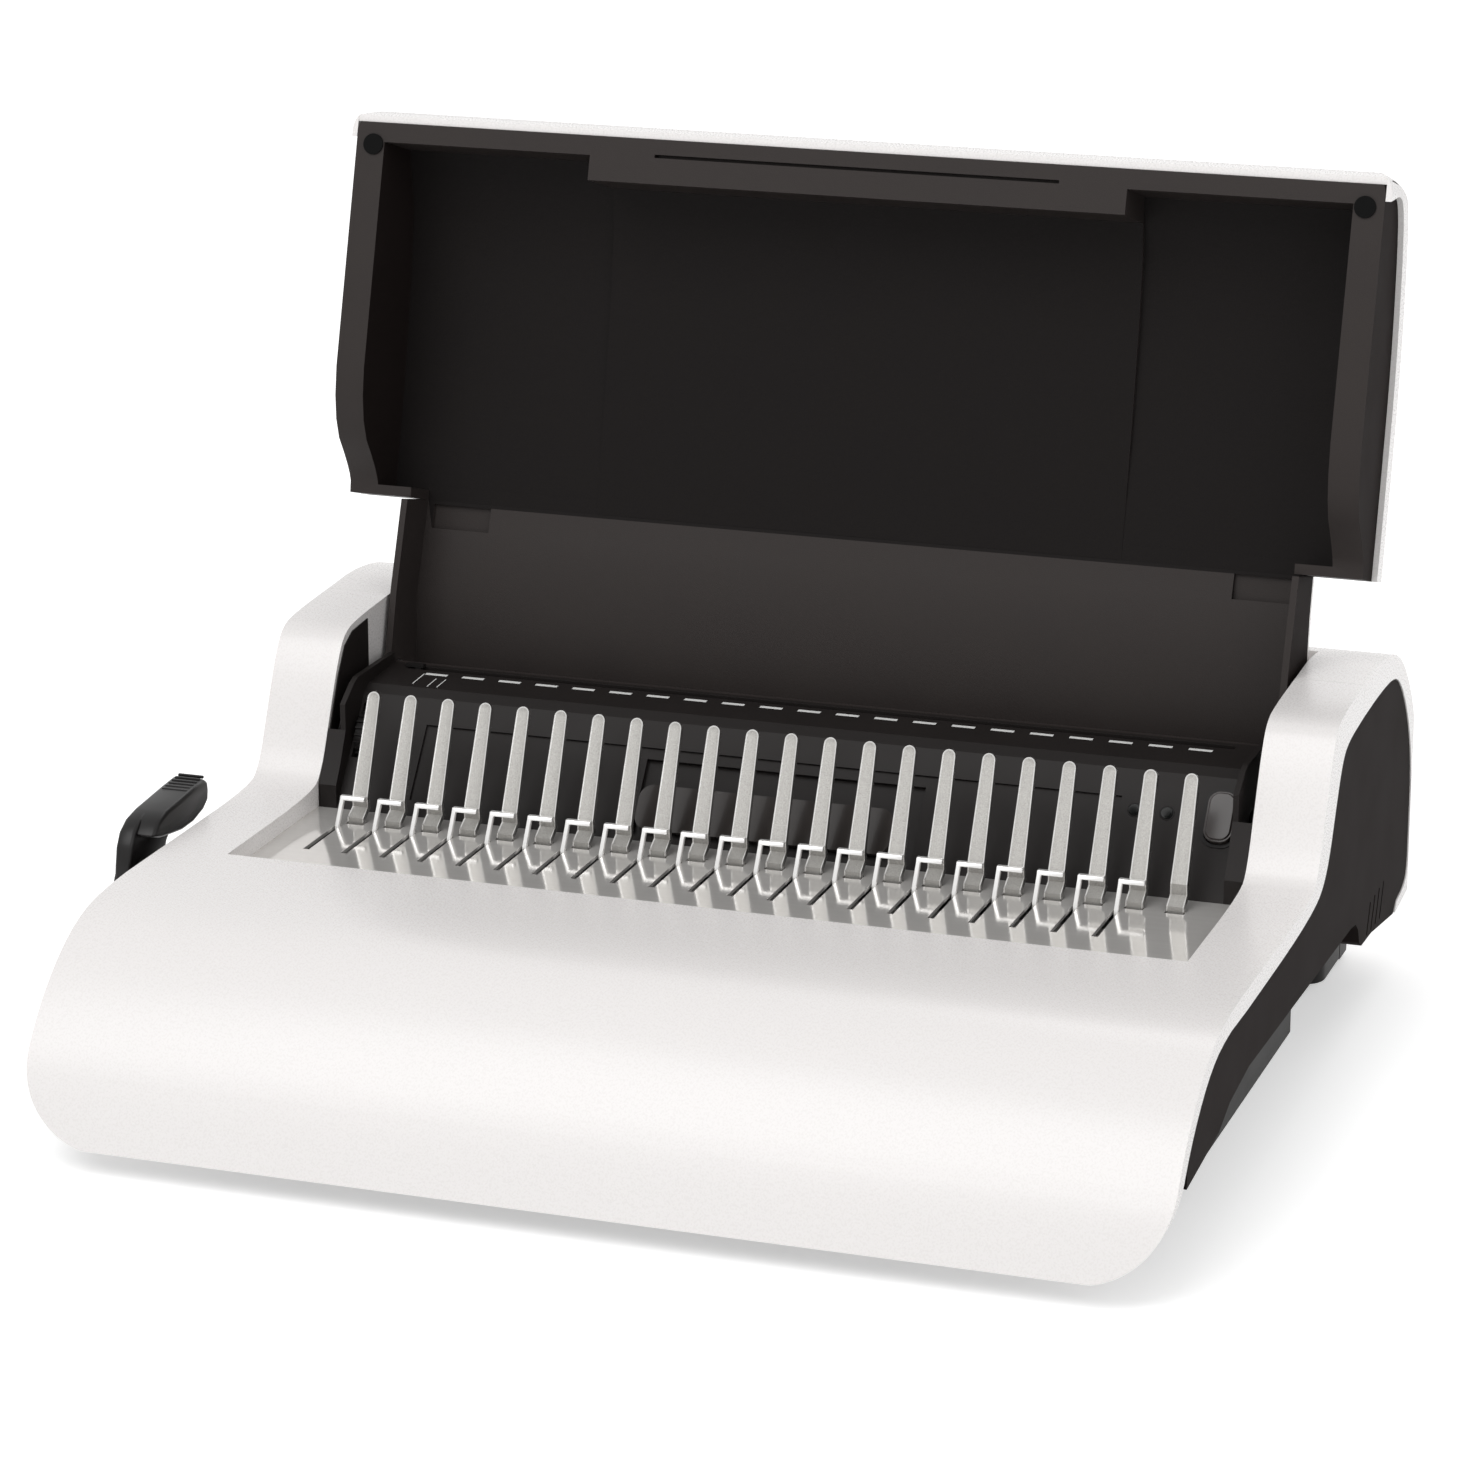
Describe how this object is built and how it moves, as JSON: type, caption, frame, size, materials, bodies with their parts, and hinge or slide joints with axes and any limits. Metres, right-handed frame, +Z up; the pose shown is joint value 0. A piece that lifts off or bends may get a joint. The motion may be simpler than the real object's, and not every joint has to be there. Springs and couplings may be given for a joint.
{
  "type": "comb binding machine",
  "caption": "Desktop comb binding machine: white deck cover, dark side panels, swing-back lid, upright comb fingers with sliding hooks, a side lever and a motorised punch.",
  "frame": {"origin": "middle of the bottom of the whole machine's box, on the table", "axes": "+Z up, +X to the operator's right, -Y towards the operator, mm drawn and metres stored"},
  "size_m": [0.408, 0.3715, 0.3016],
  "materials": {
    "white_shell": "gloss white moulding",
    "dark_plastic": "satin charcoal moulding",
    "black_plastic": "satin black moulding",
    "rubber": "matt",
    "lens": "dark tinted lens",
    "smoked_plastic": "smoked clear moulding",
    "stainless": "bright brushed sheet",
    "satin_steel": "satin steel",
    "zinc_steel": "zinc plated steel",
    "gear_nylon": "natural nylon",
    "bush_nylon": "natural nylon",
    "motor_can": "plated can",
    "brass": "turned brass",
    "board_green": "solder mask",
    "button_plastic": "satin dark grey moulding"
  },
  "bodies": {
    "machine_body": {"top_cover": "white_shell", "rear_cover": "white_shell", "side_panel_left": "dark_plastic", "side_panel_right": "dark_plastic", "base_pan": "black_plastic", "rubber_feet": "rubber", "well_liner": "dark_plastic", "button_bezel": "black_plastic", "indicator_lenses": "lens", "gauge_window": "smoked_plastic", "hinge_trough": "dark_plastic", "comb_plate": "stainless", "finger_rack": "satin_steel", "hook_guides": "black_plastic", "chassis_plates": "zinc_steel", "die_block": "zinc_steel", "paper_chute": "dark_plastic", "motor_bracket": "zinc_steel", "drive_motor": "motor_can", "circuit_board": "board_green", "power_inlet": "black_plastic", "switch_frame": "black_plastic", "lever_bushes": "bush_nylon", "lever_bracket": "zinc_steel", "hinge_pins": "zinc_steel", "hinge_brackets": "black_plastic", "cover_screws": "zinc_steel"},
    "lid": {"lid_shell": "white_shell", "lid_liner": "dark_plastic", "lid_bumpers": "rubber"},
    "lever": {"binding_lever": "black_plastic", "lever_crank": "zinc_steel"},
    "hooks": {"hook_rail": "stainless"},
    "button": {"punch_button": "button_plastic"},
    "wheel": {"edge_wheel": "black_plastic"},
    "stop": {"edge_stop": "black_plastic"},
    "switch": {"power_switch": "black_plastic"},
    "drawer": {"chip_drawer": "black_plastic"},
    "punch": {"punch_bar": "zinc_steel", "punch_pins": "satin_steel"},
    "cams": {"camshaft": "zinc_steel", "camshaft_gear": "gear_nylon"},
    "pinion": {"motor_pinion": "brass"}
  },
  "joints": [
    {"name": "lid_hinge", "type": "hinge", "parent": "machine_body", "child": "lid", "pos_m": [0.009, 0.0785, 0.1023], "axis": [1, 0, 0], "range_deg": [0, 106.6]},
    {"name": "lever_swing", "type": "hinge", "parent": "machine_body", "child": "lever", "pos_m": [-0.19, -0.06, 0.0575], "axis": [1, 0, 0], "range_deg": [0, 100]},
    {"name": "hook_slide", "type": "slide", "parent": "machine_body", "child": "hooks", "axis": [0, -1, 0], "range_m": [0, 0.026]},
    {"name": "button_press", "type": "slide", "parent": "machine_body", "child": "button", "axis": [0, 0.7924, -0.61], "range_m": [0, 0.0015], "stiffness_N_per_m": 400, "springref_m": -0.0005},
    {"name": "wheel_turn", "type": "hinge", "parent": "machine_body", "child": "wheel", "pos_m": [-0.1505, 0.0357, 0.0888], "axis": [1, 0, 0], "range_deg": [-120, 120]},
    {"name": "stop_slide", "type": "slide", "parent": "machine_body", "child": "stop", "axis": [1, 0, 0], "range_m": [-0.0015, 0.003]},
    {"name": "switch_rock", "type": "hinge", "parent": "machine_body", "child": "switch", "pos_m": [0.091, 0.177, 0.05], "axis": [1, 0, 0], "range_deg": [0, 8]},
    {"name": "drawer_slide", "type": "slide", "parent": "machine_body", "child": "drawer", "axis": [1, 0, 0], "range_m": [0, 0.15]},
    {"name": "punch_slide", "type": "slide", "parent": "machine_body", "child": "punch", "axis": [0, 1, 0], "range_m": [0, 0.01]},
    {"name": "cam_spin", "type": "hinge", "parent": "machine_body", "child": "cams", "pos_m": [0.009, 0.02, 0.038], "axis": [1, 0, 0], "continuous": true},
    {"name": "pinion_spin", "type": "hinge", "parent": "machine_body", "child": "pinion", "pos_m": [-0.15, -0.0093, 0.038], "axis": [1, 0, 0], "continuous": true}
  ],
  "couplings": [
    {"joint": "hook_slide", "follows": "lever_swing", "m_per_rad": 0.014897},
    {"joint": "stop_slide", "follows": "wheel_turn", "m_per_rad": 0.0007},
    {"joint": "pinion_spin", "follows": "cam_spin", "ratio": -3.6667}
  ]
}
